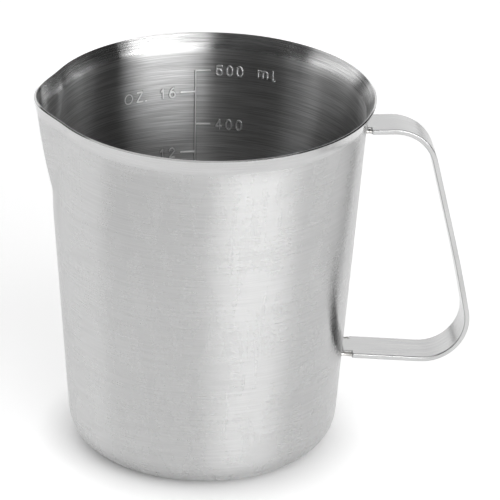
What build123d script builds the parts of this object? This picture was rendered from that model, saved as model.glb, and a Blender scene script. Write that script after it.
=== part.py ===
from build123d import *
import math
import os

# One-piece drawn cup with a pouring spout, a pressed volume scale and a welded strap handle.
# Frame: base centre at the origin, +Z up, handle towards +X, spout towards -X,
# scale on the inside of the +Y wall. All lengths in mm, all angles in degrees.

# ---- Sheet and wall
SHEET = 0.7                 # thickness of the drawn sheet
HEIGHT = 106.3              # base to the top of the rim
BASE_RADIUS = 38.25         # where the straight wall line meets the base plane
TOP_RADIUS = 45.86          # where the same line would meet the rim plane
CORNER_RADIUS = 9.9         # outside of the bottom corner

# ---- Flared rim
FLARE_HEIGHT = 4.5          # height of the flared band below the rim
FLARE_REACH = 2.17          # how far the flare stands out of the straight wall line
FLARE_BEND = 0.8            # the bend at its foot reaches this far up and down
FLARE_FOOT = HEIGHT - FLARE_HEIGHT - FLARE_BEND
RIM_BEVEL = 0.3             # height of the sloping sheet edge at the rim
RIM_LAND = 0.15             # flat left on top of that edge

# ---- Spout: a nose pressed outwards between two shallow pulled-in flanks
SPOUT_DEPTH = 28.4          # rim to the lowest point of the nose
SPOUT_HALF_ANGLE = 27.0     # half-width of the nose at the rim
SPOUT_FOOT_ANGLE = 6.0      # half-width of the nose at its lowest point
SPOUT_NOSE = 3.07           # nose height above the pulled-in flanks at the rim
SPOUT_FULLNESS = 1.57       # above 1, the nose fills out quickly above its lowest point
SPOUT_FLARE_CUT = 0.8       # share of the rim flare that the nose takes up
FLANK_PULL = 2.32           # how far the flanks are drawn in at the rim
FLANK_DEPTH = 37.4          # height over which that fades out
FLANK_START = 5.0           # angle from the spout's middle where the pull starts to fade
FLANK_END = 116.0           # and where it is gone

# ---- Volume scale, pressed from outside so that it stands proud inside
ML_PER_OUNCE = 28.41
ML_MARKS = (100, 200, 300, 400, 500)
OUNCE_MARKS = (4, 8, 12, 16)
SLICE = 0.02                # slice height in the sum that gives a mark's level
ML_DROP = 0.3               # millilitre marks sit this far below the true level
OUNCE_RISE = 0.6            # the top ounce mark sits this far above it
OUNCE_CREEP = 0.17          # and each ounce below the top one adds this to that
STROKE = 0.5                # width of a pressed line
EMBOSS = 0.25               # how far it stands proud inside and is sunk outside
CUTTER_REACH = 2.1          # how far its cutter runs to each side of the wall
TICK = 4.6
LINE_FOOT = 14.0            # lower end of the scale's upright line
LINE_BARS = 8               # the upright line is built of this many bars, to follow the wall
DIGIT_HEIGHT = 3.4
DIGIT_WIDTH = 2.1
WIDE_LETTERS = {"m": 3.3, "O": 3.1, "Z": 2.3}
DIGIT_PITCH = 3.0
ML_FIRST_DIGIT = 6.85       # arc distances from the line to the middle of a character
OUNCE_LAST_DIGIT = -6.9
ML_UNIT = {"m": 19.9, "l": 23.1}
OUNCE_UNIT = {"O": -20.9, "Z": -17.2, ".": -15.1}

# ---- Handle: one flat bar bent to an open D
STRAP_WIDTH = 12.0
STRAP_THICKNESS = 1.5
STRAP_EDGE = 0.35           # rounding along the bar's four long edges
TOP_RUN_Z = 96.3            # middle of the upper, level run
GRIP_TOP = (62.6, TOP_RUN_Z)  # (X, Z) where the upper run and the grip would meet
GRIP_MIDDLE = (72.9, 53.6)  # slight bow of the grip
GRIP_FOOT = (78.8, 23.25)   # where the grip and the lower run would meet
LOWER_RUN_SLOPE = 0.08      # the lower run rises towards the cup
BEND_RADIUS = 12.4
BOW_RADIUS = 400.0
WALL_GAP = 0.2              # strap end to wall

# ---- Welds: one nugget at each corner of both strap ends
NUGGET_LENGTH_TOP = 1.5     # from the wall to the notch face in the strap's corner
NUGGET_LENGTH_FOOT = 2.9
NUGGET_RADIUS = 0.72
NUGGET_WAIST = 0.5
NOTCH_WIDTH = 1.9
NOTCH_HEIGHT = 12.0

# ---- Lofting
STEP = 4.0                  # section spacing in the plain wall
FLARE_STEP = 0.45           # section spacing in the flare
SCALE_STEP = 8.0            # section spacing in the patch of wall that carries the scale
SCALE_SPAN = 50.0           # half-width of that patch
FINE_ANGLE = 3.0
COARSE_ANGLE = 10.0
FINE_SPAN = 36.0
OVERRUN = 1.0               # how far the cavity is carried past the rim


def fade(value):
    """Smooth 0..1 ramp."""
    v = min(max(value, 0.0), 1.0)
    return v * v * (3 - 2 * v)


def hump(angle, half_width):
    """1 in the middle, 0 from half_width outwards, without a corner."""
    if abs(angle) >= half_width:
        return 0.0
    return math.cos(math.pi / 2 * angle / half_width) ** 2


def straight_radius(z):
    return BASE_RADIUS + (TOP_RADIUS - BASE_RADIUS) * z / HEIGHT


def flare(z):
    """Outward reach of the flare: nothing, then a parabola through the bend, then a straight slope."""
    climb = z - HEIGHT + FLARE_HEIGHT
    if abs(climb) < FLARE_BEND:
        climb = (climb + FLARE_BEND) ** 2 / (4 * FLARE_BEND)
    return FLARE_REACH * max(climb, 0.0) / FLARE_HEIGHT


def wall_radius(angle, z):
    """Outside radius of the wall at an angle from the spout's middle."""
    depth = HEIGHT - z
    rise = min(max(1 - depth / SPOUT_DEPTH, 0.0), 1.0)
    half_width = SPOUT_HALF_ANGLE * rise + SPOUT_FOOT_ANGLE * (1 - rise)
    nose_height = (SPOUT_NOSE + FLARE_REACH * SPOUT_FLARE_CUT) * (1 - (1 - rise) ** SPOUT_FULLNESS)
    nose = nose_height * hump(angle, half_width)
    rim_share = 1 - SPOUT_FLARE_CUT * hump(angle, SPOUT_HALF_ANGLE)
    flank = 1 - fade((abs(angle) - FLANK_START) / (FLANK_END - FLANK_START))
    pull = FLANK_PULL * flank * fade(1 - depth / FLANK_DEPTH)
    return straight_radius(z) + flare(z) * rim_share + nose - pull


def section_angles():
    """Angles from the spout's middle, close together round the nose."""
    fine_count = round(2 * FINE_SPAN / FINE_ANGLE)
    coarse_count = round((360 - 2 * FINE_SPAN) / COARSE_ANGLE)
    fine = [-FINE_SPAN + 2 * FINE_SPAN * i / fine_count for i in range(fine_count)]
    coarse = [FINE_SPAN + (360 - 2 * FINE_SPAN) * i / coarse_count for i in range(coarse_count)]
    return fine + coarse


def wall_point(angle, z, inset):
    radius = wall_radius((angle + 180) % 360 - 180, z) - inset
    turn = math.radians(angle)
    return (-radius * math.cos(turn), radius * math.sin(turn), z)


def wall_section(z, inset):
    """Closed smooth outline of the wall at one height, moved inwards by inset."""
    angles = section_angles()
    points = [wall_point(angle, z, inset) for angle in angles]
    knots = [math.radians(angle - angles[0]) for angle in angles] + [2 * math.pi]
    return Wire([Edge.make_spline(points, periodic=True, parameters=knots)])


def spaced(start, end, step):
    """Evenly spaced values from start to end, at most a step apart."""
    count = math.ceil((end - start) / step)
    return [start + (end - start) * i / count for i in range(count + 1)]


def vessel(inset, top):
    """Everything inside the cup's outer surface moved inwards by inset, up to height top."""
    heights = spaced(inset, FLARE_FOOT, STEP)[:-1] + spaced(FLARE_FOOT, top, FLARE_STEP)
    solid = Solid.make_loft([wall_section(z, inset) for z in heights])
    floor_edge = solid.edges().sort_by(Axis.Z)[0]
    return fillet(floor_edge, CORNER_RADIUS - inset)


def rim_edge():
    """Sloping sheet edge: from the flare's outside up to a narrow land on top."""
    foot = wall_section(HEIGHT - RIM_BEVEL, 0)
    land = wall_section(HEIGHT, SHEET - RIM_LAND)
    return Solid.make_loft([foot, land], ruled=True)


def level_height(volume_ml):
    """Height of the liquid's surface for a volume, from the round wall."""
    corner = CORNER_RADIUS - SHEET
    slope = (TOP_RADIUS - BASE_RADIUS) / HEIGHT
    corner_centre = straight_radius(CORNER_RADIUS) - SHEET - corner * math.hypot(1, slope)
    z = SHEET
    volume = 0.0
    while volume < volume_ml * 1000:
        above = CORNER_RADIUS - z
        radius = straight_radius(z) - SHEET
        if above > corner * slope:
            radius = min(radius, corner_centre + math.sqrt(corner ** 2 - above ** 2))
        volume += math.pi * radius ** 2 * SLICE
        z += SLICE
    return z


def strokes(character):
    """Strokes of one character in a box 1 wide and 1 high, centred on 0."""
    left, right, low, high = -0.5, 0.5, -0.5, 0.5
    upper_right, lower_left = (right, high), (left, low)
    ring = [Ellipse(0.5, 0.5).edge()]
    shapes = {
        "0": ring,
        "O": ring,
        ".": [Line((-0.1, low), (0.1, low))],
        "1": [Line((0.1, low), (0.1, high)), Line((0.1, high), (-0.3, 0.2))],
        "2": [
            ThreePointArc((left, 0.2), (0, high), (right, 0.2)),
            Line((right, 0.2), lower_left),
            Line(lower_left, (right, low)),
        ],
        "3": [
            ThreePointArc((left, 0.35), (0.3, 0.4), (0, 0)),
            ThreePointArc((0, 0), (0.3, -0.4), (left, -0.35)),
        ],
        "4": [
            Line((0.2, low), (0.2, high)),
            Line((0.2, high), (left, -0.2)),
            Line((left, -0.2), (right, -0.2)),
        ],
        "5": [
            Line(upper_right, (-0.4, high)),
            Line((-0.4, high), (left, 0.0)),
            ThreePointArc((left, 0.0), (right, -0.2), (left, -0.45)),
        ],
        "6": [
            Pos(0, -0.2) * Ellipse(0.5, 0.3).edge(),
            ThreePointArc((left, -0.2), (-0.3, 0.25), (0.25, high)),
        ],
        "8": [
            Pos(0, 0.25) * Ellipse(0.4, 0.25).edge(),
            Pos(0, -0.25) * Ellipse(0.5, 0.25).edge(),
        ],
        "Z": [
            Line((left, high), upper_right),
            Line(upper_right, lower_left),
            Line(lower_left, (right, low)),
        ],
        "m": [
            Line((left, -0.36), (left, 0.36)),
            ThreePointArc((left, 0.16), (-0.25, 0.36), (0, 0.16)),
            Line((0, 0.16), (0, -0.36)),
            ThreePointArc((0, 0.16), (0.25, 0.36), (right, 0.16)),
            Line((right, 0.16), (right, -0.36)),
        ],
        "l": [
            Line((0, high), (0, -0.3)),
            ThreePointArc((0, -0.3), (0.15, -0.45), (0.4, low)),
        ],
    }
    return shapes[character]


def on_wall(arc, z):
    """Plane on the inside of the +Y wall, seen from the axis, at an arc from the scale line."""
    radius = straight_radius(z) - SHEET
    turn = arc / radius
    inward = Vector(-math.sin(turn), -math.cos(turn), 0)
    along = Vector(math.cos(turn), -math.sin(turn), 0)
    return Plane(origin=inward * -radius + Vector(0, 0, z), x_dir=along, z_dir=inward)


def through_wall(sketch, arc, z):
    """Cutter of a sketch's shape right through the sheet."""
    return on_wall(arc, z) * extrude(sketch, amount=CUTTER_REACH, both=True)


def glyph(character, arc, z):
    width = WIDE_LETTERS.get(character, DIGIT_WIDTH)
    size = (width - STROKE, DIGIT_HEIGHT - STROKE, 1)
    traced = [trace(scale(line, size), STROKE) for line in strokes(character)]
    return [through_wall(line, arc, z) for line in traced]


def tick(z, side):
    return through_wall(Rectangle(TICK, STROKE), side * TICK / 2, z)


def scale_line(top):
    length = (top - LINE_FOOT) / LINE_BARS
    middles = [LINE_FOOT + length * (i + 0.5) for i in range(LINE_BARS)]
    return [through_wall(Rectangle(STROKE, length + STROKE), 0, z) for z in middles]


def unit_mark(unit, z):
    return [cutter for letter, arc in unit.items() for cutter in glyph(letter, arc, z)]


def ml_height(volume):
    return level_height(volume) - ML_DROP


def ml_scale():
    cutters = unit_mark(ML_UNIT, ml_height(ML_MARKS[-1]))
    for volume in ML_MARKS:
        z = ml_height(volume)
        cutters.append(tick(z, 1))
        for place, digit in enumerate(str(volume)):
            cutters += glyph(digit, ML_FIRST_DIGIT + DIGIT_PITCH * place, z)
    return cutters


def ounce_height(ounces):
    creep = OUNCE_CREEP * (OUNCE_MARKS[-1] - ounces)
    return level_height(ounces * ML_PER_OUNCE) + OUNCE_RISE + creep


def ounce_scale():
    cutters = unit_mark(OUNCE_UNIT, ounce_height(OUNCE_MARKS[-1]))
    for ounces in OUNCE_MARKS:
        z = ounce_height(ounces)
        cutters.append(tick(z, -1))
        for place, digit in enumerate(reversed(str(ounces))):
            cutters += glyph(digit, OUNCE_LAST_DIGIT - DIGIT_PITCH * place, z)
    return cutters


def scale_wedge(inset):
    """Wedge from the axis to the scale's patch of wall, that patch moved inwards by inset."""
    angles = spaced(90 - SCALE_SPAN, 90 + SCALE_SPAN, COARSE_ANGLE)
    knots = [math.radians(angle) for angle in angles]
    sections = []
    for z in spaced(CORNER_RADIUS, FLARE_FOOT, SCALE_STEP):
        points = [wall_point(angle, z, inset) for angle in angles]
        axis = (0, 0, z)
        arc = Edge.make_spline(points, parameters=knots)
        sides = [Edge.make_line(points[-1], axis), Edge.make_line(axis, points[0])]
        sections.append(Wire([arc] + sides))
    return Solid.make_loft(sections)


def cup_body():
    shell = vessel(0, HEIGHT - RIM_BEVEL) + rim_edge() - vessel(SHEET, HEIGHT + OVERRUN)
    scale_top = ml_height(ML_MARKS[-1])
    cutters = Part() + scale_line(scale_top) + ml_scale() + ounce_scale()
    grooves = cutters - scale_wedge(EMBOSS)
    ribs = (cutters & scale_wedge(SHEET / 2)) - scale_wedge(SHEET + EMBOSS)
    return shell - grooves + ribs


def lower_run_z(x):
    return GRIP_FOOT[1] + LOWER_RUN_SLOPE * (GRIP_FOOT[0] - x)


def wall_line_x(z, y):
    """X of the outside of the wall on the handle side."""
    return math.sqrt(straight_radius(z) ** 2 - y ** 2)


def wall_block(gap):
    """Round block that fills the cup and a gap round it."""
    outline = Polyline(
        (0, 0),
        (straight_radius(0) + gap, 0),
        (straight_radius(HEIGHT) + gap, HEIGHT),
        (0, HEIGHT),
        close=True,
    )
    return revolve(Plane.XZ * make_face(outline), Axis.Z)


def handle_strap():
    start_x = BASE_RADIUS - STRAP_WIDTH / 2
    path = Plane.XZ * FilletPolyline(
        (start_x, TOP_RUN_Z),
        GRIP_TOP,
        GRIP_MIDDLE,
        GRIP_FOOT,
        (start_x, lower_run_z(start_x)),
        radius=[BEND_RADIUS, BOW_RADIUS, BEND_RADIUS],
    )
    section = RectangleRounded(STRAP_WIDTH, STRAP_THICKNESS, STRAP_EDGE)
    start = Plane(origin=path @ 0, x_dir=(0, 1, 0), z_dir=path % 0)
    strap = sweep(start * section, path)
    strap -= wall_block(WALL_GAP)
    for side in (-1, 1):
        strap -= notch(TOP_RUN_Z, NUGGET_LENGTH_TOP, side)
        strap -= notch(lower_run_z(BASE_RADIUS), NUGGET_LENGTH_FOOT, side)
    return strap


def nugget_y(side):
    return side * (STRAP_WIDTH / 2 - NUGGET_RADIUS - STRAP_EDGE / 2)


def notch(z, length, side):
    """Cut in one corner of a strap end, where a nugget takes the bar's place."""
    end_x = wall_line_x(z, nugget_y(side)) + length
    depth = end_x - BASE_RADIUS / 2
    y = side * (STRAP_WIDTH / 2 - NOTCH_WIDTH / 2 + STRAP_EDGE)
    block = Box(depth, NOTCH_WIDTH + 2 * STRAP_EDGE, NOTCH_HEIGHT)
    return Pos(end_x - depth / 2, y, z) * block


def nugget(z, length, side, slope):
    """Weld metal between the wall and the strap's corner, waisted in the middle."""
    y = nugget_y(side)
    wall_x = wall_line_x(z, y)
    inner = wall_x - STRAP_THICKNESS
    outline = Line((inner, 0), (inner, NUGGET_RADIUS))
    outline += Line((inner, NUGGET_RADIUS), (wall_x, NUGGET_RADIUS))
    outline += ThreePointArc(
        (wall_x, NUGGET_RADIUS),
        (wall_x + length / 2, NUGGET_WAIST),
        (wall_x + length, NUGGET_RADIUS),
    )
    outline += Line((wall_x + length, NUGGET_RADIUS), (wall_x + length, 0))
    outline += Line((wall_x + length, 0), (inner, 0))
    neck = revolve(make_face(outline), Axis.X)
    strap_z = z - slope * length
    return Pos(0, y, strap_z) * neck


def weld_pair(z, length, slope):
    cup = vessel(0, HEIGHT)
    return Compound(children=[nugget(z, length, side, slope) - cup for side in (-1, 1)])


def main():
    lower_z = lower_run_z(BASE_RADIUS)
    nodes = {
        "cup_body": cup_body(),
        "handle_strap": handle_strap(),
        "upper_welds": weld_pair(TOP_RUN_Z, NUGGET_LENGTH_TOP, 0),
        "lower_welds": weld_pair(lower_z, NUGGET_LENGTH_FOOT, LOWER_RUN_SLOPE),
    }
    os.makedirs("parts", exist_ok=True)
    for name, shape in nodes.items():
        export_step(shape, f"parts/{name}.step")


main()
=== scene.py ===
import math

import bmesh
import bpy
import numpy as np
from mathutils import Matrix, Vector
from mathutils.geometry import delaunay_2d_cdt


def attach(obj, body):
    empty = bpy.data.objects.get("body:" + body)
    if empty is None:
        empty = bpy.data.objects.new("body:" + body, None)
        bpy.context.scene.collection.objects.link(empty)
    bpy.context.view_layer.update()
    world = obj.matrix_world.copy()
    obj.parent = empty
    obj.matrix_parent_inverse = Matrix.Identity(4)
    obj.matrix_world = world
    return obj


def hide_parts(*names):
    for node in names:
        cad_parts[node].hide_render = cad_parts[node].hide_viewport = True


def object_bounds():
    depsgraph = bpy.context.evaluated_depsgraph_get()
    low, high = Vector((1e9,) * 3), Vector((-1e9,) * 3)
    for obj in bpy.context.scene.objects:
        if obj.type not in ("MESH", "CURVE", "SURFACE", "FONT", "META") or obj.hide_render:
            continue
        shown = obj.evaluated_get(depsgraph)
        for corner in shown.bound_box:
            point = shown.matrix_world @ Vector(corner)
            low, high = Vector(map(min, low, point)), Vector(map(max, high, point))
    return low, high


# A drawn steel pouring pot: cup with a pressed scale, strap handle and its four welds.
# Shapes are worked out in millimetres in the row frame: base centre at the origin, +Z up,
# handle towards +X, spout towards -X. Angles are degrees from the middle of the spout.
# The room is in metres, and the azimuth of its lights is 0 over the handle.

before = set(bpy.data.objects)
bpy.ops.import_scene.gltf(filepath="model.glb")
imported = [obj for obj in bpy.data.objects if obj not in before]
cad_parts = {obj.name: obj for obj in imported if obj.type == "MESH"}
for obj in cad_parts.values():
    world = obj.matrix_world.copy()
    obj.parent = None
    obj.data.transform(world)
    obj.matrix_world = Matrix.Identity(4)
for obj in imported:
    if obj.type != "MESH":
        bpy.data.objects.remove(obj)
cad_low, cad_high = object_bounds()

MM = 0.001
HEIGHT = cad_high.z / MM

# ---- Wall of the cup
SHEET = 0.7
BASE_RADIUS = 38.25
TOP_RADIUS = 45.86
CORNER_RADIUS = 9.9
FLARE_HEIGHT = 4.5
FLARE_REACH = 2.17
FLARE_BEND = 0.8
RIM_BEVEL = 0.3
RIM_LAND = 0.15
RIM_EDGE = 0.09             # rounding of the cut edge's corners
WALL_SLOPE = (TOP_RADIUS - BASE_RADIUS) / HEIGHT

# ---- Spout
SPOUT_DEPTH = 28.4
SPOUT_HALF_ANGLE = 27.0
SPOUT_FOOT_ANGLE = 6.0
SPOUT_NOSE = 3.07
SPOUT_FULLNESS = 1.57
SPOUT_FLARE_CUT = 0.8
FLANK_PULL = 2.32
FLANK_DEPTH = 37.4
FLANK_START = 5.0
FLANK_END = 116.0

# ---- Pressed scale
SCALE_ANGLE = 90.0
MM3_PER_ML = 1000
ML_PER_OUNCE = 28.41
ML_MARKS = (100, 200, 300, 400, 500)
OUNCE_MARKS = (4, 8, 12, 16)
ML_DROP = 0.3               # how far the ml marks are stamped below their true level
OUNCE_RISE = 0.6            # how far the top ounce mark is stamped above its true level
OUNCE_CREEP = 0.17          # further rise for each ounce below the top mark
SLICE = 0.02                # thickness of the slices that the cup's volume is added up from
EMBOSS = 0.25               # height of the pressed lines
RIDGE_FLAT = 0.13           # half-width of a pressed line's flat top
RIDGE = 0.42                # half-width of a pressed line at its foot
TICK = 4.6
LINE_FOOT = 14.0
DIGIT_HEIGHT = 3.4
DIGIT_WIDTH = 2.1
WIDE_LETTERS = {"m": 3.3, "O": 3.1, "Z": 2.3}
STROKE = 0.5
DIGIT_PITCH = 3.0
ML_FIRST_DIGIT = 6.85
OUNCE_LAST_DIGIT = -6.9
ML_UNIT = {"m": 19.9, "l": 23.1}
OUNCE_UNIT = {"O": -20.9, "Z": -17.2, ".": -15.1}

# ---- Cup mesh
COLUMNS = 288
BASE_SPACING = 4.0          # point spacing across the base
WALL_SPACING = (            # heights, from the rim down, and the point spacing above each
    (HEIGHT - 1.0, 0.3),
    (HEIGHT - FLARE_HEIGHT - 2 * FLARE_BEND, 0.5),
    (HEIGHT - FLANK_DEPTH, 1.2),
    (SHEET, 2.5),
)
PATCH_HALF = 35.0           # half-width in degrees of the stretch of wall that carries the scale
PATCH_LOW = 11.5
PATCH_HIGH = 99.5
LAYOUT_HEIGHT = 90.0        # the patch is laid out flat with the wall's radius at this height
STROKE_STEP = 0.32          # point spacing along a pressed line
RIDGE_ROWS = (0.0, 0.12, 0.2, 0.3, 0.42, 0.54)   # distances of its rows of points from the middle
ROW_SLACK = 0.02            # a point goes if another line is nearer than its own by more than this
CLEAR_BAND = 0.3            # gap between the outer row and the wall's own points
MERGE = 1e-5                # points nearer to one another become one in the patch
SNAP = 1e-4                 # a patch's side points this near to a column are put on it
DECIMALS = 4                # points that agree to so many are joined
POINTS_AT_ONCE = 2000

# ---- Handle and welds
STRAP_WIDTH = 12.0
STRAP_THICKNESS = 1.5
STRAP_EDGE = 0.35           # rounding of the bar's edges
EDGE_SEGMENTS = 4
EDGE_ANGLE = 40             # degrees; edges that bend less stay as they are
STRAP_STEP = 2.5
TOP_RUN_Z = 96.3
GRIP_TOP = (62.6, TOP_RUN_Z)
GRIP_MIDDLE = (72.9, 53.6)
GRIP_FOOT = (78.8, 23.25)
LOWER_RUN_SLOPE = 0.08
BEND_RADIUS = 12.4
BOW_RADIUS = 400.0
WALL_GAP = 0.2
NUGGET_LENGTH_TOP = 1.5
NUGGET_LENGTH_FOOT = 2.9
NUGGET_RADIUS = 0.72
NUGGET_WAIST = 0.5
NUGGET_ROOT = 0.3           # how deep a nugget is melted into the wall
NUGGET_LUMP = 0.03
NUGGET_PLAIN = 0.05         # share of its length at either end over which the lumps fade no further
NUGGET_RINGS = 14
NUGGET_SEGMENTS = 20
NOTCH_WIDTH = 1.9
NOTCH_ROOM = 0.5            # the strap's own points keep this far from the notch's end

# ---- Finish
NOISE_RANGE = (0.38, 0.62)  # where nearly all of the noise lies
LINES_TINT = (0.95, 1.04)   # colour factors at its ends, for the lines of the brushing
CLOUD_TINT = (0.98, 1.01)   # and for the smudges
LINES_ROUGH = (-0.008, 0.008)
CLOUD_ROUGH = (-0.015, 0.02)
BRUSH_TURN = 0.25           # turns between the tangent and the way that highlights spread
STREAK_NOISE = {"Detail": 1.0, "Roughness": 0.6}
BLOTCH_NOISE = {"Detail": 3.0, "Roughness": 0.55}
WIPE_NOISE = {"Detail": 4.0, "Roughness": 0.6, "Distortion": 1.2}
FINE_STREAK = (14.0, 0.26)  # length and width
BROAD_STREAK = (26.0, 0.8)
STRAP_STREAK = (16.0, 0.4)
FINE_SHARE = 0.75
RING_LEAN = 0.5             # how much the rings follow the radius, so that the base has them too
WIPE_SIZE = (5.0, 5.0, 18.0)
WIPE_SHARE = 0.6
CLOUD_SIZE = 14.0
WELD_SPOT = 0.5
UNEVEN_SIZE = 2.2
FACING_IN = (0.1, -0.3)     # cosines to the outward direction between which the inside's look sets in
INSIDE_ROUGH = 0.08         # the inside is brushed more coarsely
INSIDE_GRAIN = 0.16
FLARE_POLISH = 0.13
CREST_PAINTED_HIGHLIGHT = 1.6         # pressed lines: painted highlight on the tops, painted shade on the flanks and in the grooves outside
FLANK_PAINTED_SHADE = 2.2
GROOVE_PAINTED_SHADE = 0.3
BRIGHTEST = 1.74            # limit of the colour factor

# ---- Camera
VIEW_DISTANCE = 1140.0
VIEW_ELEVATION = 24.83
VIEW_TURN = -5.2
VIEW_ROLL = 1.16
LENS = 286.0
SENSOR = 36.0
NEAR = 0.05                 # clipping distances in metres
FAR = 50.0
MIDDLE_LEFT = 13.07         # how far the pot's middle is left of and below the picture's
MIDDLE_BELOW = 4.41

# ---- Room (lengths in metres)
ROOM_LIGHT = 0.05
FLOOR_RADIUS = 8.0
FLOOR_SEGMENTS = 96
FLOOR_WHITE = 0.9
FLOOR_ROUGH = 0.9
FLOOR_GLOW = 0.5
CONTACT_SHADOW_REACH = 0.012       # how near to the pot the floor's glow fades, a painted contact shadow
PANEL_DISTANCE = 1.6
WINDOW_AZIMUTH = -59
FADE_STEPS = 5
FADE_GAP = 0.01


# ---------------------------------------------------------------- shared shapes

def rounded_path(corners, radii, turn_step):
    """Points along a polyline whose inner corners are replaced by arcs of the given radii."""
    corners = [np.array(corner, float) for corner in corners]
    points = [corners[0]]
    for before, corner, after, radius in zip(corners, corners[1:], corners[2:], radii):
        back = (before - corner) / np.linalg.norm(before - corner)
        ahead = (after - corner) / np.linalg.norm(after - corner)
        inside = math.acos(float(np.clip(back @ ahead, -1, 1)))
        turn = math.pi - inside
        middle = back + ahead
        centre = corner + middle / np.linalg.norm(middle) * radius / math.sin(inside / 2)
        start = corner + back * radius / math.tan(inside / 2) - centre
        side = np.array([-start[1], start[0]])
        side *= np.sign(side @ -back)
        steps = max(2, math.ceil(math.degrees(turn) / turn_step))
        for t in np.linspace(0, turn, steps + 1):
            points.append(centre + start * math.cos(t) + side * math.sin(t))
    points.append(corners[-1])
    return np.array(points)


def divided(points, step_at):
    """The same path with extra points, so that no run is longer than step_at(its middle)."""
    out = [points[0]]
    for start, end in zip(points, points[1:]):
        length = np.linalg.norm(end - start)
        count = max(1, math.ceil(length / step_at((start + end) / 2)))
        out += [start + (end - start) * (i + 1) / count for i in range(count)]
    return np.array(out)


def fade(value):
    """0 to 1 with a soft start and a soft end."""
    v = np.clip(value, 0.0, 1.0)
    return v * v * (3 - 2 * v)


def hump(angle, half_width):
    """1 in the middle, falling to 0 at the half-width."""
    inside = np.abs(angle) < half_width
    return np.where(inside, np.cos(math.pi / 2 * angle / half_width) ** 2, 0.0)


def straight_radius(z):
    """Outside radius of the plain tapered wall."""
    return BASE_RADIUS + (TOP_RADIUS - BASE_RADIUS) * z / HEIGHT


def flare(z):
    """How far the rim leans out at a height."""
    climb = z - HEIGHT + FLARE_HEIGHT
    bend = (climb + FLARE_BEND) ** 2 / (4 * FLARE_BEND)
    climb = np.where(np.abs(climb) < FLARE_BEND, bend, climb)
    return FLARE_REACH * np.maximum(climb, 0.0) / FLARE_HEIGHT


def wall_radius(angle, z):
    """Outside radius of the wall at an angle from the spout's middle."""
    angle = (angle + 180) % 360 - 180
    depth = HEIGHT - z
    rise = np.clip(1 - depth / SPOUT_DEPTH, 0.0, 1.0)
    half_width = SPOUT_HALF_ANGLE * rise + SPOUT_FOOT_ANGLE * (1 - rise)
    nose_height = (SPOUT_NOSE + FLARE_REACH * SPOUT_FLARE_CUT) * (1 - (1 - rise) ** SPOUT_FULLNESS)
    nose = nose_height * hump(angle, half_width)
    rim_share = 1 - SPOUT_FLARE_CUT * hump(angle, SPOUT_HALF_ANGLE)
    flank = 1 - fade((np.abs(angle) - FLANK_START) / (FLANK_END - FLANK_START))
    pull = FLANK_PULL * flank * fade(1 - depth / FLANK_DEPTH)
    return straight_radius(z) + flare(z) * rim_share + nose - pull


def around(angle, radius, z):
    """Points of the row frame at an angle from the spout's middle."""
    turn = np.radians(angle)
    x, y, z = np.broadcast_arrays(-radius * np.cos(turn), radius * np.sin(turn), z)
    return np.stack([x, y, z], axis=-1).astype(float)


def unit(vectors):
    return vectors / np.maximum(np.linalg.norm(vectors, axis=-1, keepdims=True), 1e-12)


def make_piece(name, points, faces, normals=None, raised=None):
    """Mesh object from points in millimetres, with its own vertex normals and raised values where given."""
    mesh = bpy.data.meshes.new(name)
    mesh.from_pydata((np.asarray(points) * MM).tolist(), [], faces)
    mesh.validate()
    mesh.polygons.foreach_set("use_smooth", [True] * len(mesh.polygons))
    if normals is not None:
        mesh.normals_split_custom_set_from_vertices(np.asarray(normals).tolist())
    if raised is not None:
        mesh.attributes.new("raised", "FLOAT", "POINT").data.foreach_set("value", raised)
    piece = bpy.data.objects.new(name, mesh)
    bpy.context.scene.collection.objects.link(piece)
    return piece


# ---------------------------------------------------------------- pressed scale

def level_height(volume_ml):
    """Height of the liquid's surface for a volume, from the round wall."""
    corner = CORNER_RADIUS - SHEET
    corner_centre = straight_radius(CORNER_RADIUS) - SHEET - corner * math.hypot(1, WALL_SLOPE)
    z = SHEET
    volume = 0.0
    while volume < volume_ml * MM3_PER_ML:
        above = CORNER_RADIUS - z
        radius = straight_radius(z) - SHEET
        if above > corner * WALL_SLOPE:
            radius = min(radius, corner_centre + math.sqrt(corner ** 2 - above ** 2))
        volume += math.pi * radius ** 2 * SLICE
        z += SLICE
    return z


def arc(centre, radii, start, end, steps=10):
    """Points on an ellipse from one angle to another."""
    turns = np.radians(np.linspace(start, end, steps + 1))
    return [(centre[0] + radii[0] * math.cos(t), centre[1] + radii[1] * math.sin(t)) for t in turns]


def strokes(character):
    """Lines of one character in a box 1 wide and 1 high, centred on 0."""
    ring = [arc((0, 0), (0.5, 0.5), 0, 360, 22)]
    shapes = {
        "0": ring,
        "O": ring,
        ".": [[(-0.1, -0.5), (0.1, -0.5)]],
        "1": [[(-0.3, 0.2), (0.1, 0.5), (0.1, -0.5)]],
        "2": [arc((0, 0.2), (0.5, 0.3), 180, 0) + [(-0.5, -0.5), (0.5, -0.5)]],
        "3": [arc((0, 0.25), (0.45, 0.25), 160, -90) + arc((0, -0.25), (0.5, 0.25), 90, -160)],
        "4": [[(0.2, -0.5), (0.2, 0.5), (-0.5, -0.2), (0.5, -0.2)]],
        "5": [[(0.5, 0.5), (-0.4, 0.5), (-0.5, 0.0)] + arc((-0.05, -0.18), (0.55, 0.32), 140, -145)],
        "6": [arc((0, -0.2), (0.5, 0.3), 0, 360, 18), arc((0.45, -0.2), (0.95, 0.72), 180, 100)],
        "8": [arc((0, 0.25), (0.4, 0.25), 0, 360, 16), arc((0, -0.25), (0.5, 0.25), 0, 360, 16)],
        "Z": [[(-0.5, 0.5), (0.5, 0.5), (-0.5, -0.5), (0.5, -0.5)]],
        "m": [
            [(-0.5, -0.36), (-0.5, 0.36)],
            arc((-0.25, 0.16), (0.25, 0.2), 180, 0) + [(0, -0.36)],
            arc((0.25, 0.16), (0.25, 0.2), 180, 0) + [(0.5, -0.36)],
        ],
        "l": [[(0, 0.5), (0, -0.3)] + arc((0.25, -0.3), (0.25, 0.2), 180, 300, 5)],
    }
    return shapes[character]


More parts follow.
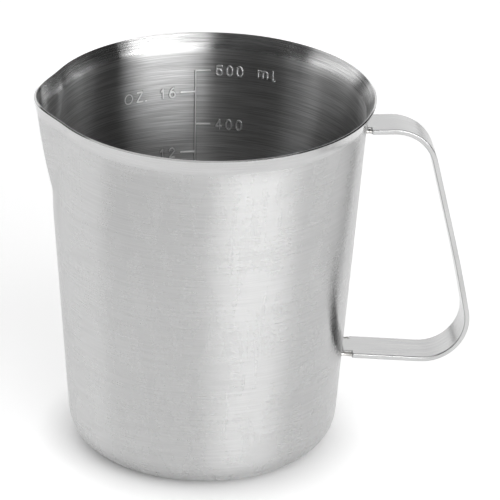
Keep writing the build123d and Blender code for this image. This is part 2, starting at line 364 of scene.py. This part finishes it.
def glyph(character, middle, z):
    """Strokes of one character on the wall, in arc length from the scale line and height."""
    width = WIDE_LETTERS.get(character, DIGIT_WIDTH) - STROKE
    height = DIGIT_HEIGHT - STROKE
    return [[(middle + x * width, z + y * height) for x, y in line] for line in strokes(character)]


def tick(z, side):
    return [[(0, z), (side * (TICK - STROKE / 2), z)]]


def unit_mark(letters, z):
    return [line for letter, middle in letters.items() for line in glyph(letter, middle, z)]


def ounce_height(ounces):
    creep = OUNCE_CREEP * (OUNCE_MARKS[-1] - ounces)
    return level_height(ounces * ML_PER_OUNCE) + OUNCE_RISE + creep


def scale_lines():
    """Every pressed line of the scale, as polylines in arc length and height."""
    ml_heights = {volume: level_height(volume) - ML_DROP for volume in ML_MARKS}
    ounce_heights = {ounces: ounce_height(ounces) for ounces in OUNCE_MARKS}
    lines = [[(0, LINE_FOOT), (0, ml_heights[ML_MARKS[-1]])]]
    lines += unit_mark(ML_UNIT, ml_heights[ML_MARKS[-1]])
    lines += unit_mark(OUNCE_UNIT, ounce_heights[OUNCE_MARKS[-1]])
    for volume, z in ml_heights.items():
        lines += tick(z, 1)
        for place, digit in enumerate(str(volume)):
            lines += glyph(digit, ML_FIRST_DIGIT + DIGIT_PITCH * place, z)
    for ounces, z in ounce_heights.items():
        lines += tick(z, -1)
        for place, digit in enumerate(reversed(str(ounces))):
            lines += glyph(digit, OUNCE_LAST_DIGIT - DIGIT_PITCH * place, z)
    return [np.array(line, float) for line in lines]


def nearest_on_lines(points, lines):
    """For each point, its offset from the nearest point of the lines."""
    starts = np.vstack([line[:-1] for line in lines])
    runs = np.vstack([np.diff(line, axis=0) for line in lines])
    lengths = np.maximum((runs ** 2).sum(1), 1e-12)
    offsets = np.empty_like(points)
    for first in range(0, len(points), POINTS_AT_ONCE):
        block = points[first:first + POINTS_AT_ONCE, None, :]
        t = np.clip(((block - starts) * runs).sum(2) / lengths, 0, 1)
        gaps = block - starts - t[..., None] * runs
        nearest = (gaps ** 2).sum(2).argmin(1)
        offsets[first:first + POINTS_AT_ONCE] = gaps[np.arange(len(nearest)), nearest]
    return offsets


def ridge(points, lines):
    """Height of the pressed ridge and its slope along arc and height, at each point."""
    offset = nearest_on_lines(points, lines)
    distance = np.linalg.norm(offset, axis=1)
    flank = RIDGE - RIDGE_FLAT
    turn = math.pi / 2 * np.clip((distance - RIDGE_FLAT) / flank, 0, 1)
    height = EMBOSS * np.cos(turn) ** 2
    steepness = -EMBOSS * np.sin(2 * turn) * math.pi / 2 / flank
    return height, unit(offset) * steepness[:, None]


def points_along(lines):
    """Points in rows on and beside every pressed line, thinned where lines meet."""
    found = []
    for line in lines:
        spaced = divided(line, lambda middle: STROKE_STEP)
        ahead = unit(np.gradient(spaced, axis=0))
        aside = np.stack([-ahead[:, 1], ahead[:, 0]], axis=1)
        for distance in RIDGE_ROWS:
            for side in ((1, -1) if distance else (1,)):
                found.append(np.column_stack([spaced + aside * distance * side,
                                              np.full(len(spaced), distance)]))
        for end, out in ((spaced[0], -ahead[0]), (spaced[-1], ahead[-1])):
            for distance in RIDGE_ROWS[1:]:
                found.append(np.array([[*(end + out * distance), distance]]))
    found = np.vstack(found)
    real = np.linalg.norm(nearest_on_lines(found[:, :2], lines), axis=1)
    return found[real > found[:, 2] - ROW_SLACK, :2]


# ---------------------------------------------------------------- cup

def wall_spacing(place):
    return next((spacing for level, spacing in WALL_SPACING if place[1] > level), BASE_SPACING)


def cup_outline():
    """Half section of the cup, with the wall still straight: base centre, outside, rim, inside."""
    corners = [
        (0, 0),
        (BASE_RADIUS, 0),
        (straight_radius(HEIGHT - RIM_BEVEL), HEIGHT - RIM_BEVEL),
        (TOP_RADIUS - SHEET + RIM_LAND, HEIGHT),
        (TOP_RADIUS - SHEET, HEIGHT),
        (BASE_RADIUS - SHEET + WALL_SLOPE * SHEET, SHEET),
        (0, SHEET),
    ]
    radii = [CORNER_RADIUS, RIM_EDGE, RIM_EDGE / 2, RIM_EDGE / 2, CORNER_RADIUS - SHEET]
    path = rounded_path(corners, radii, turn_step=9.0)
    return divided(path, wall_spacing)


def grid_faces(rows, columns, skipped):
    """Quads of a ring-shaped grid, without the cells that skipped(row, column) names."""
    faces = []
    for i in range(rows - 1):
        here, after = i * columns, (i + 1) * columns
        for j in range(columns):
            if not skipped(i, j):
                k = (j + 1) % columns
                faces.append((here + j, after + j, after + k, here + k))
    return faces


def grid_normals(grid):
    """Normals of a ring-shaped grid from its neighbouring points."""
    along = np.gradient(grid, axis=0)
    across = np.roll(grid, -1, axis=1) - np.roll(grid, 1, axis=1)
    normals = unit(np.cross(along, across))
    for row, pole in ((0, -1), (-1, 1)):
        normals[row] = (0, 0, pole)
    return normals


def wall_frame(angle, z, inset):
    """Points of the wall and its unit directions: round it, up it and outwards."""
    small = 0.01
    point = around(angle, wall_radius(angle, z) - inset, z)
    beside = around(angle + small, wall_radius(angle + small, z) - inset, z)
    above = around(angle, wall_radius(angle, z + small) - inset, z + small)
    across = unit(beside - point)
    up = unit(above - point)
    return point, across, up, unit(np.cross(up, across))


def scale_patch(lines, inset, heights, columns):
    """The stretch of wall that carries the scale: points, normals, raised values and triangles."""

    def radius_at(z):
        return wall_radius(SCALE_ANGLE, z) - inset

    def arc_and_height(places):
        arc_length = np.radians(places[:, 0] - SCALE_ANGLE) * radius_at(places[:, 1])
        return np.column_stack([arc_length, places[:, 1]])

    near = points_along(lines)
    near[:, 0] = SCALE_ANGLE + np.degrees(near[:, 0] / radius_at(near[:, 1]))
    far = np.array([(angle, z) for z in heights for angle in columns])
    on_side = (far[:, 0] == columns[0]) | (far[:, 0] == columns[-1])
    on_end = (far[:, 1] == heights[0]) | (far[:, 1] == heights[-1])
    distance = np.linalg.norm(nearest_on_lines(arc_and_height(far), lines), axis=1)
    clear = distance > RIDGE_ROWS[-1] + CLEAR_BAND
    places = np.vstack([far[on_side | on_end | clear], near])

    flat_radius = float(radius_at(LAYOUT_HEIGHT))
    flat = np.column_stack([np.radians(places[:, 0] - SCALE_ANGLE) * flat_radius, places[:, 1]])
    made = delaunay_2d_cdt([Vector(place) for place in flat], [], [], 0, MERGE)
    flat = np.array([tuple(place) for place in made[0]])
    triangles = [tuple(face) for face in made[2]]
    places = np.column_stack([SCALE_ANGLE + np.degrees(flat[:, 0] / flat_radius), flat[:, 1]])
    for side in (columns[0], columns[-1]):
        places[np.abs(places[:, 0] - side) < SNAP, 0] = side

    height, slope = ridge(arc_and_height(places), lines)
    point, across, up, out = wall_frame(places[:, 0], places[:, 1], inset)
    points = point - out * height[:, None]
    normals = unit(out + across * slope[:, :1] + up * slope[:, 1:])
    return points, normals, height / EMBOSS, triangles


def joined(blocks):
    """One set of points, normals, raised values and faces from several, with shared points made one."""
    points = np.vstack([block[0] for block in blocks])
    normals = np.vstack([block[1] for block in blocks])
    raised = np.concatenate([block[2] for block in blocks])
    faces, base = [], 0
    for block in blocks:
        faces += [tuple(i + base for i in face) for face in block[3]]
        base += len(block[0])
    rounded = np.round(points, DECIMALS)
    _, first, where = np.unique(rounded, axis=0, return_index=True, return_inverse=True)
    where = where.ravel()
    faces = [tuple(dict.fromkeys(int(where[i]) for i in face)) for face in faces]
    return points[first], normals[first], raised[first], [face for face in faces if len(face) > 2]


def make_cup():
    """The shell as a grid round the axis, with a finer patch outside and inside for the scale."""
    outline = cup_outline()
    columns = np.arange(COLUMNS) * 360 / COLUMNS
    offsets = outline[:, 0] - straight_radius(outline[:, 1])
    z = outline[:, 1][:, None]
    grid = around(columns[None, :], wall_radius(columns[None, :], z) + offsets[:, None], z)
    normals = grid_normals(grid)
    top = int(np.argmax(outline[:, 1]))
    patch_columns = [j for j in range(COLUMNS) if abs(columns[j] - SCALE_ANGLE) <= PATCH_HALF]
    lines = scale_lines()
    blocks, patch_rows = [], set()
    for inset, rows in ((0.0, range(top)), (SHEET, range(top, len(outline)))):
        rows = [i for i in rows if PATCH_LOW < outline[i, 1] < PATCH_HIGH]
        patch_rows.update(rows[:-1])
        heights = sorted(outline[i, 1] for i in rows)
        points, own_normals, raised, triangles = scale_patch(lines, inset, heights, columns[patch_columns])
        if inset:
            own_normals = -own_normals
        else:
            raised = -raised
            triangles = [face[::-1] for face in triangles]
        blocks.append((points, own_normals, raised, triangles))
    inner_columns = set(patch_columns[:-1])
    faces = grid_faces(len(outline), COLUMNS, lambda i, j: i in patch_rows and j in inner_columns)
    blocks.append((grid.reshape(-1, 3), normals.reshape(-1, 3), np.zeros(grid[..., 0].size), faces))
    points, normals, raised, faces = joined(blocks)
    return make_piece("cup", points, faces, normals, raised)


# ---------------------------------------------------------------- handle

def lower_run_z(x):
    return GRIP_FOOT[1] + LOWER_RUN_SLOPE * (GRIP_FOOT[0] - x)


def wall_line_x(z, y):
    """X of the strap's end, just off the round wall."""
    return math.sqrt((straight_radius(z) + WALL_GAP) ** 2 - y ** 2)


def strap_path():
    """The bar's middle line in X and Z, from the upper end to the lower one."""
    start_x = straight_radius(TOP_RUN_Z)
    end_x = straight_radius(GRIP_FOOT[1])
    corners = [(start_x, TOP_RUN_Z), GRIP_TOP, GRIP_MIDDLE, GRIP_FOOT, (end_x, lower_run_z(end_x))]
    path = rounded_path(corners, [BEND_RADIUS, BOW_RADIUS, BEND_RADIUS], turn_step=4.0)
    return divided(path, lambda middle: STRAP_STEP)


def strap_middles(levels, tongue):
    """Rows of points across the bar, in X and Z. The end rows follow the wall, and the rows next
    to them are where the notches for the welds end."""
    foot_z = lower_run_z(BASE_RADIUS)
    notch_top = wall_line_x(TOP_RUN_Z, tongue) + NUGGET_LENGTH_TOP - WALL_GAP
    notch_foot = wall_line_x(foot_z, tongue) + NUGGET_LENGTH_FOOT - WALL_GAP
    path = strap_path()
    notch_x = np.where(path[:, 1] > GRIP_MIDDLE[1], notch_top, notch_foot)
    inner = path[path[:, 0] > notch_x + NOTCH_ROOM]
    top_end = [(wall_line_x(TOP_RUN_Z, y), TOP_RUN_Z) for y in levels]
    foot_end = [(x, lower_run_z(x)) for x in (wall_line_x(foot_z, y) for y in levels)]
    run = [(notch_top, TOP_RUN_Z), *inner, (notch_foot, lower_run_z(notch_foot))]
    return np.array([top_end, *([place] * len(levels) for place in run), foot_end])


def make_strap():
    """Flat bar bent along its path: a sheet of quads given its thickness, then rounded edges."""
    tongue = STRAP_WIDTH / 2 - NOTCH_WIDTH
    levels = [-STRAP_WIDTH / 2, -tongue, -tongue / 2, 0, tongue / 2, tongue, STRAP_WIDTH / 2]
    middles = strap_middles(levels, tongue)
    rows, columns = middles.shape[:2]
    ahead = unit(np.gradient(middles[:, columns // 2], axis=0))
    aside = np.stack([-ahead[:, 1], ahead[:, 0]], axis=1) * STRAP_THICKNESS / 2
    bm = bmesh.new()

    def corner(i, j, sign):
        if i in (0, rows - 1) and j in (0, columns - 1):
            return None
        x, z = middles[i, j] + aside[i] * sign
        return bm.verts.new((x * MM, levels[j] * MM, z * MM))

    upper, lower = ([[corner(i, j, sign) for j in range(columns)] for i in range(rows)] for sign in (1, -1))
    edges = []
    for i, j in np.ndindex(rows - 1, columns - 1):
        cell = [(i, j), (i + 1, j), (i + 1, j + 1), (i, j + 1)]
        if all(upper[i][j] for i, j in cell):
            bm.faces.new([upper[i][j] for i, j in cell])
            bm.faces.new([lower[i][j] for i, j in reversed(cell)])
            edges += zip(cell, cell[1:] + cell[:1])
    for a, b in edges:
        if (b, a) not in edges:
            bm.faces.new([upper[b[0]][b[1]], upper[a[0]][a[1]], lower[a[0]][a[1]], lower[b[0]][b[1]]])
    bmesh.ops.recalc_face_normals(bm, faces=bm.faces)
    mesh = bpy.data.meshes.new("strap")
    bm.to_mesh(mesh)
    bm.free()
    mesh.polygons.foreach_set("use_smooth", [True] * len(mesh.polygons))
    strap = bpy.data.objects.new("strap", mesh)
    bpy.context.scene.collection.objects.link(strap)
    bevel = strap.modifiers.new("edges", "BEVEL")
    bevel.width = STRAP_EDGE * MM
    bevel.segments = EDGE_SEGMENTS
    bevel.limit_method = "ANGLE"
    bevel.angle_limit = math.radians(EDGE_ANGLE)
    bevel.harden_normals = True
    return strap


def nugget(z, length, side, slope, rng):
    """Weld metal between the wall and the strap's corner: a waisted, slightly lumpy spool."""
    y = side * (STRAP_WIDTH / 2 - NUGGET_RADIUS - STRAP_EDGE / 2)
    wall_x = math.sqrt(straight_radius(z) ** 2 - y ** 2)
    lumps = rng.normal(0, 1, (3, 2))
    points = []
    for t in (i / NUGGET_RINGS for i in range(NUGGET_RINGS + 1)):
        x = wall_x - NUGGET_ROOT + (length + NUGGET_ROOT) * t
        radius = NUGGET_RADIUS - (NUGGET_RADIUS - NUGGET_WAIST) * math.sin(math.pi * t)
        lumpy = math.sin(math.pi * min(max(t, NUGGET_PLAIN), 1 - NUGGET_PLAIN))
        for turn in (2 * math.pi * j / NUGGET_SEGMENTS for j in range(NUGGET_SEGMENTS)):
            waves = [NUGGET_LUMP * size * math.sin((k + 2) * turn + 5 * t + start)
                     for k, (size, start) in enumerate(lumps)]
            r = radius + sum(waves) * lumpy
            points.append((x, y + r * math.cos(turn), z - slope * length * t + r * math.sin(turn)))
    rings = [list(range(i * NUGGET_SEGMENTS, (i + 1) * NUGGET_SEGMENTS)) for i in range(NUGGET_RINGS + 1)]
    faces = []
    for ring, following in zip(rings, rings[1:]):
        for j in range(NUGGET_SEGMENTS):
            k = (j + 1) % NUGGET_SEGMENTS
            faces.append((ring[j], ring[k], following[k], following[j]))
    faces += [tuple(reversed(rings[0])), tuple(rings[-1])]
    return np.array(points), faces


def make_welds(name, z, length, slope, seed):
    """The pair of nuggets at one end of the strap."""
    rng = np.random.default_rng(seed)
    points, faces = [], []
    for side in (-1, 1):
        own_points, own_faces = nugget(z, length, side, slope, rng)
        faces += [tuple(i + len(points) for i in face) for face in own_faces]
        points += list(own_points)
    return make_piece(name, points, faces)


# ---------------------------------------------------------------- materials

def new_material(name):
    material = bpy.data.materials.new(name)
    material.use_nodes = True
    tree = material.node_tree
    return material, tree, tree.nodes["Principled BSDF"]


def add(tree, kind, settings=None, **inputs):
    """A new node with its own settings and the values of its inputs."""
    node = tree.nodes.new(kind)
    for key, value in (settings or {}).items():
        setattr(node, key, value)
    for key, value in inputs.items():
        node.inputs[key.replace("_", " ")].default_value = value
    return node


def math_node(tree, operation, first, second=0.0, third=0.0):
    node = add(tree, "ShaderNodeMath", {"operation": operation})
    for socket, value in zip(node.inputs, (first, second, third)):
        if isinstance(value, bpy.types.NodeSocket):
            tree.links.new(value, socket)
        else:
            socket.default_value = value
    return node.outputs["Value"]


def place_round_axis(tree):
    """The point's direction from the cup's axis, and its height with some of its radius added."""
    place = add(tree, "ShaderNodeTexCoord").outputs["Object"]
    flat = add(tree, "ShaderNodeVectorMath", {"operation": "MULTIPLY"})
    flat.inputs[1].default_value = (1, 1, 0)
    tree.links.new(place, flat.inputs[0])
    direction = add(tree, "ShaderNodeVectorMath", {"operation": "NORMALIZE"})
    tree.links.new(flat.outputs["Vector"], direction.inputs[0])
    length = add(tree, "ShaderNodeVectorMath", {"operation": "LENGTH"})
    tree.links.new(flat.outputs["Vector"], length.inputs[0])
    apart = add(tree, "ShaderNodeSeparateXYZ")
    tree.links.new(place, apart.inputs["Vector"])
    along = math_node(tree, "MULTIPLY_ADD", length.outputs["Value"], RING_LEAN, apart.outputs["Z"])
    return direction.outputs["Vector"], along


def noise_at(tree, place, **inputs):
    noise = add(tree, "ShaderNodeTexNoise", Scale=1.0, **inputs)
    tree.links.new(place, noise.inputs["Vector"])
    return noise.outputs["Fac"]


def ring_streaks(tree, streak, shift):
    """Noise drawn out round the cup's axis in streaks of about that length and width."""
    length, width = streak
    direction, along = place_round_axis(tree)
    grow = add(tree, "ShaderNodeVectorMath", {"operation": "SCALE"})
    grow.inputs["Scale"].default_value = TOP_RADIUS / length
    tree.links.new(direction, grow.inputs[0])
    rise = math_node(tree, "MULTIPLY_ADD", along, 1 / (width * MM), shift)
    lift = add(tree, "ShaderNodeCombineXYZ")
    tree.links.new(rise, lift.inputs["Z"])
    total = add(tree, "ShaderNodeVectorMath", {"operation": "ADD"})
    tree.links.new(grow.outputs["Vector"], total.inputs[0])
    tree.links.new(lift.outputs["Vector"], total.inputs[1])
    return noise_at(tree, total.outputs["Vector"], **STREAK_NOISE)


def scaled_place(tree, sizes, shift=0.0):
    """Object coordinates divided by a size in millimetres for each axis."""
    place = add(tree, "ShaderNodeTexCoord").outputs["Object"]
    scaled = add(tree, "ShaderNodeMapping")
    scaled.inputs["Location"].default_value = (shift, -shift, shift)
    scaled.inputs["Scale"].default_value = [1 / (size * MM) for size in sizes]
    tree.links.new(place, scaled.inputs["Vector"])
    return scaled.outputs["Vector"]


def blotches(tree, size, shift):
    return noise_at(tree, scaled_place(tree, (size, size, size), shift), **BLOTCH_NOISE)


def smudges(tree):
    """Faint upright wipe marks over broad cloudy patches."""
    wipes = noise_at(tree, scaled_place(tree, WIPE_SIZE), **WIPE_NOISE)
    cloud = math_node(tree, "MULTIPLY", blotches(tree, CLOUD_SIZE, shift=3.0), 1 - WIPE_SHARE)
    return math_node(tree, "MULTIPLY_ADD", wipes, WIPE_SHARE, cloud)


def cup_grain(tree):
    """Brushing round the cup: mostly fine streaks, with some broader ones."""
    fine = ring_streaks(tree, FINE_STREAK, shift=0.0)
    broad = ring_streaks(tree, BROAD_STREAK, shift=50.0)
    fine = math_node(tree, "MULTIPLY", fine, FINE_SHARE)
    broad = math_node(tree, "MULTIPLY", broad, 1 - FINE_SHARE)
    return math_node(tree, "ADD", fine, broad)


def strap_grain(tree):
    """Brushing along the strap, fine across its width."""
    length, width = STRAP_STREAK
    return noise_at(tree, scaled_place(tree, (length, width, length)), **STREAK_NOISE)


def weld_grain(tree):
    return blotches(tree, WELD_SPOT, shift=2.0)


def remap(tree, value, limits):
    """Noise brought from its own range to the limits."""
    node = add(tree, "ShaderNodeMapRange", From_Min=NOISE_RANGE[0], From_Max=NOISE_RANGE[1],
               To_Min=limits[0], To_Max=limits[1])
    tree.links.new(value, node.inputs["Value"])
    return node.outputs["Result"]


def add_bump(tree, height, depth_mm, normal=None):
    bump = add(tree, "ShaderNodeBump", Strength=1.0, Distance=depth_mm * MM)
    tree.links.new(height, bump.inputs["Height"])
    if normal:
        tree.links.new(normal, bump.inputs["Normal"])
    return bump.outputs["Normal"]


def metal(name, colour, roughness, grain, grain_depth, uneven_depth, spread=0.0, wear_and_painted_light=None):
    """Bare steel, tinted and roughened by its grain and by smudges. spread is how much highlights
    are drawn out by brushing round the cup; the last argument may change tint and roughness, for wear and
    painted light."""
    material, tree, shader = new_material(name)
    link = tree.links.new
    shader.inputs["Metallic"].default_value = 1.0
    shader.inputs["Anisotropic"].default_value = spread
    shader.inputs["Anisotropic Rotation"].default_value = BRUSH_TURN
    lines = grain(tree)
    cloud = smudges(tree)
    tint = math_node(tree, "MULTIPLY", remap(tree, lines, LINES_TINT), remap(tree, cloud, CLOUD_TINT))
    rough = math_node(tree, "ADD", remap(tree, lines, LINES_ROUGH), remap(tree, cloud, CLOUD_ROUGH))
    rough = math_node(tree, "ADD", rough, roughness)
    if wear_and_painted_light:
        tint, rough = wear_and_painted_light(tree, lines, tint, rough)
    coloured = add(tree, "ShaderNodeVectorMath", {"operation": "SCALE"})
    coloured.inputs[0].default_value = colour
    link(tint, coloured.inputs["Scale"])
    link(coloured.outputs["Vector"], shader.inputs["Base Color"])
    link(rough, shader.inputs["Roughness"])
    brushed = add_bump(tree, lines, grain_depth)
    uneven = add_bump(tree, blotches(tree, UNEVEN_SIZE, shift=11.0), uneven_depth, brushed)
    link(uneven, shader.inputs["Normal"])
    if spread:
        tangent = add(tree, "ShaderNodeTangent", {"direction_type": "RADIAL", "axis": "Z"})
        link(tangent.outputs["Tangent"], shader.inputs["Tangent"])
    return material


def inside_share(tree):
    """1 on surfaces that face the cup's axis, 0 elsewhere."""
    direction, _ = place_round_axis(tree)
    facing = add(tree, "ShaderNodeVectorMath", {"operation": "DOT_PRODUCT"})
    tree.links.new(direction, facing.inputs[0])
    tree.links.new(add(tree, "ShaderNodeNewGeometry").outputs["Normal"], facing.inputs[1])
    ramp = add(tree, "ShaderNodeMapRange", To_Min=0.0, To_Max=1.0,
               From_Min=FACING_IN[0], From_Max=FACING_IN[1])
    tree.links.new(facing.outputs["Value"], ramp.inputs["Value"])
    return ramp.outputs["Result"]


def flare_polish(tree):
    """How much smoother the flared rim is than the wall below it."""
    place = add(tree, "ShaderNodeTexCoord").outputs["Object"]
    apart = add(tree, "ShaderNodeSeparateXYZ")
    tree.links.new(place, apart.inputs["Vector"])
    foot = HEIGHT - FLARE_HEIGHT
    ramp = add(tree, "ShaderNodeMapRange", To_Min=0.0, To_Max=FLARE_POLISH,
               From_Min=(foot - FLARE_BEND) * MM, From_Max=(foot + FLARE_BEND) * MM)
    tree.links.new(apart.outputs["Z"], ramp.inputs["Value"])
    return ramp.outputs["Result"]


def cup_wear(tree, lines, tint, rough):
    """Coarser brushing inside, a smoother flare, and pressed lines with a painted highlight on their tops
    and painted shade on their flanks and in the grooves outside.
    """
    inside = inside_share(tree)
    coarse = math_node(tree, "MULTIPLY", inside, remap(tree, lines, (-INSIDE_GRAIN, INSIDE_GRAIN)))
    tint = math_node(tree, "ADD", tint, coarse)
    raised = add(tree, "ShaderNodeAttribute", {"attribute_name": "raised"}).outputs["Fac"]
    crest = math_node(tree, "MAXIMUM", raised, 0.0)
    crest_squared = math_node(tree, "MULTIPLY", crest, crest)
    flank = math_node(tree, "SUBTRACT", crest, crest_squared)
    groove = math_node(tree, "MINIMUM", raised, 0.0)
    # painted highlight: the tops of the pressed lines are made brighter
    tint = math_node(tree, "MULTIPLY_ADD", crest_squared, CREST_PAINTED_HIGHLIGHT, tint)
    # painted shade: the flanks of the pressed lines are made darker
    tint = math_node(tree, "MULTIPLY_ADD", flank, -FLANK_PAINTED_SHADE, tint)
    # painted shade: the grooves outside are made darker
    tint = math_node(tree, "MULTIPLY_ADD", groove, GROOVE_PAINTED_SHADE, tint)
    tint = math_node(tree, "MINIMUM", tint, BRIGHTEST)
    rough = math_node(tree, "MULTIPLY_ADD", inside, INSIDE_ROUGH, rough)
    rough = math_node(tree, "SUBTRACT", rough, flare_polish(tree))
    return tint, rough


# ---------------------------------------------------------------- studio

def make_camera():
    """Camera looking down at the pot from the side across from the scale."""
    elevation, turn, roll = (math.radians(a) for a in (VIEW_ELEVATION, VIEW_TURN, VIEW_ROLL))
    spin = Matrix.Rotation(turn, 3, "Z")
    ahead = spin @ Vector((0, math.cos(elevation), -math.sin(elevation)))
    right = spin @ Vector((1, 0, 0))
    up = right.cross(ahead)
    across = right * math.cos(roll) + up * math.sin(roll)
    upright = up * math.cos(roll) - right * math.sin(roll)
    middle = Vector((0, 0, HEIGHT / 2))
    place = middle + (across * MIDDLE_LEFT + upright * MIDDLE_BELOW - ahead * VIEW_DISTANCE)
    camera = bpy.data.objects.new("camera", bpy.data.cameras.new("camera"))
    camera.data.lens = LENS
    camera.data.sensor_width = SENSOR
    camera.data.clip_start = NEAR
    camera.data.clip_end = FAR
    rotation = Matrix((across, upright, -ahead)).transposed()
    camera.matrix_world = Matrix.Translation(place * MM) @ rotation.to_4x4()
    bpy.context.scene.collection.objects.link(camera)
    bpy.context.scene.camera = camera


def make_panel(name, azimuth, elevation, width, height, radiance, distance=PANEL_DISTANCE):
    """Soft rectangular light facing the pot."""
    a, e = math.radians(azimuth), math.radians(elevation)
    away = Vector((math.cos(a) * math.cos(e), math.sin(a) * math.cos(e), math.sin(e)))
    light = bpy.data.lights.new(name, "AREA")
    light.shape = "RECTANGLE"
    light.size, light.size_y = width, height
    light.energy = radiance * math.pi * width * height
    panel = bpy.data.objects.new(name, light)
    panel.location = away * distance
    panel.rotation_euler = away.to_track_quat("Z", "Y").to_euler()
    panel.visible_camera = False
    bpy.context.scene.collection.objects.link(panel)


def make_soft_edged_panel(name, azimuth, elevation, widths, height, radiance):
    """Panels of shrinking width one in front of the other, so that the light fades towards both ends."""
    widest, narrowest = widths
    for step in range(FADE_STEPS):
        width = widest + (narrowest - widest) * step / (FADE_STEPS - 1)
        make_panel(f"{name}_{step + 1}", azimuth, elevation, width, height, radiance / FADE_STEPS,
                   distance=PANEL_DISTANCE - step * FADE_GAP)


def make_floor():
    """White floor that glows a little, with a painted contact shadow where its glow fades near the pot."""
    bm = bmesh.new()
    bmesh.ops.create_circle(bm, cap_ends=True, segments=FLOOR_SEGMENTS, radius=FLOOR_RADIUS)
    mesh = bpy.data.meshes.new("floor")
    bm.to_mesh(mesh)
    bm.free()
    floor = bpy.data.objects.new("floor", mesh)
    bpy.context.scene.collection.objects.link(floor)
    material, tree, shader = new_material("floor_white")
    shader.inputs["Base Color"].default_value = (FLOOR_WHITE, FLOOR_WHITE, FLOOR_WHITE, 1)
    shader.inputs["Roughness"].default_value = FLOOR_ROUGH
    shader.inputs["Emission Strength"].default_value = FLOOR_GLOW
    # painted contact shadow: ambient occlusion dims the floor's glow near the pot
    shade = add(tree, "ShaderNodeAmbientOcclusion", Distance=CONTACT_SHADOW_REACH)
    tree.links.new(shade.outputs["Color"], shader.inputs["Emission Color"])
    mesh.materials.append(material)


def make_world():
    world = bpy.data.worlds.new("studio")
    world.use_nodes = True
    background = world.node_tree.nodes["Background"]
    background.inputs["Color"].default_value = (ROOM_LIGHT, ROOM_LIGHT, ROOM_LIGHT, 1)
    bpy.context.scene.world = world


# ---------------------------------------------------------------- assembly

cup = make_cup()
strap = make_strap()
upper_welds = make_welds("welds_upper", TOP_RUN_Z, NUGGET_LENGTH_TOP, slope=0.0, seed=3)
lower_z = lower_run_z(BASE_RADIUS)
lower_welds = make_welds("welds_lower", lower_z, NUGGET_LENGTH_FOOT, slope=LOWER_RUN_SLOPE, seed=5)

cup_steel = metal("cup_steel", (0.565, 0.565, 0.565), roughness=0.275, grain=cup_grain,
                  grain_depth=0.004, uneven_depth=0.004, spread=1.0, wear_and_painted_light=cup_wear)
strap_steel = metal("strap_steel", (0.56, 0.56, 0.56), roughness=0.25, grain=strap_grain,
                    grain_depth=0.006, uneven_depth=0.01)
weld_metal = metal("weld_metal", (0.6, 0.59, 0.57), roughness=0.22, grain=weld_grain,
                   grain_depth=0.05, uneven_depth=0.0)

pieces = (
    (cup, "cup_body", "cup_steel", cup_steel),
    (strap, "handle_strap", "strap_steel", strap_steel),
    (upper_welds, "upper_welds", "weld_metal", weld_metal),
    (lower_welds, "lower_welds", "weld_metal", weld_metal),
)
for piece, node, slot, material in pieces:
    piece.data.materials.append(material)
    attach(piece, "root")
    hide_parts(node)

make_camera()
make_floor()
make_world()
make_soft_edged_panel("window_right", WINDOW_AZIMUTH, elevation=18.3,
                      widths=(2.15, 0.8), height=0.36, radiance=10.0)
make_panel("softbox_right", WINDOW_AZIMUTH, elevation=48, width=1.6, height=0.8, radiance=1.1)
make_soft_edged_panel("softbox_left", azimuth=161, elevation=15,
                      widths=(1.75, 1.15), height=0.7, radiance=1.5)
make_panel("softbox_back", azimuth=88, elevation=20, width=2.2, height=0.9, radiance=1.1)
make_panel("softbox_top", azimuth=140, elevation=75, width=1.8, height=1.8, radiance=0.75)
bpy.context.scene.view_settings.view_transform = "Standard"
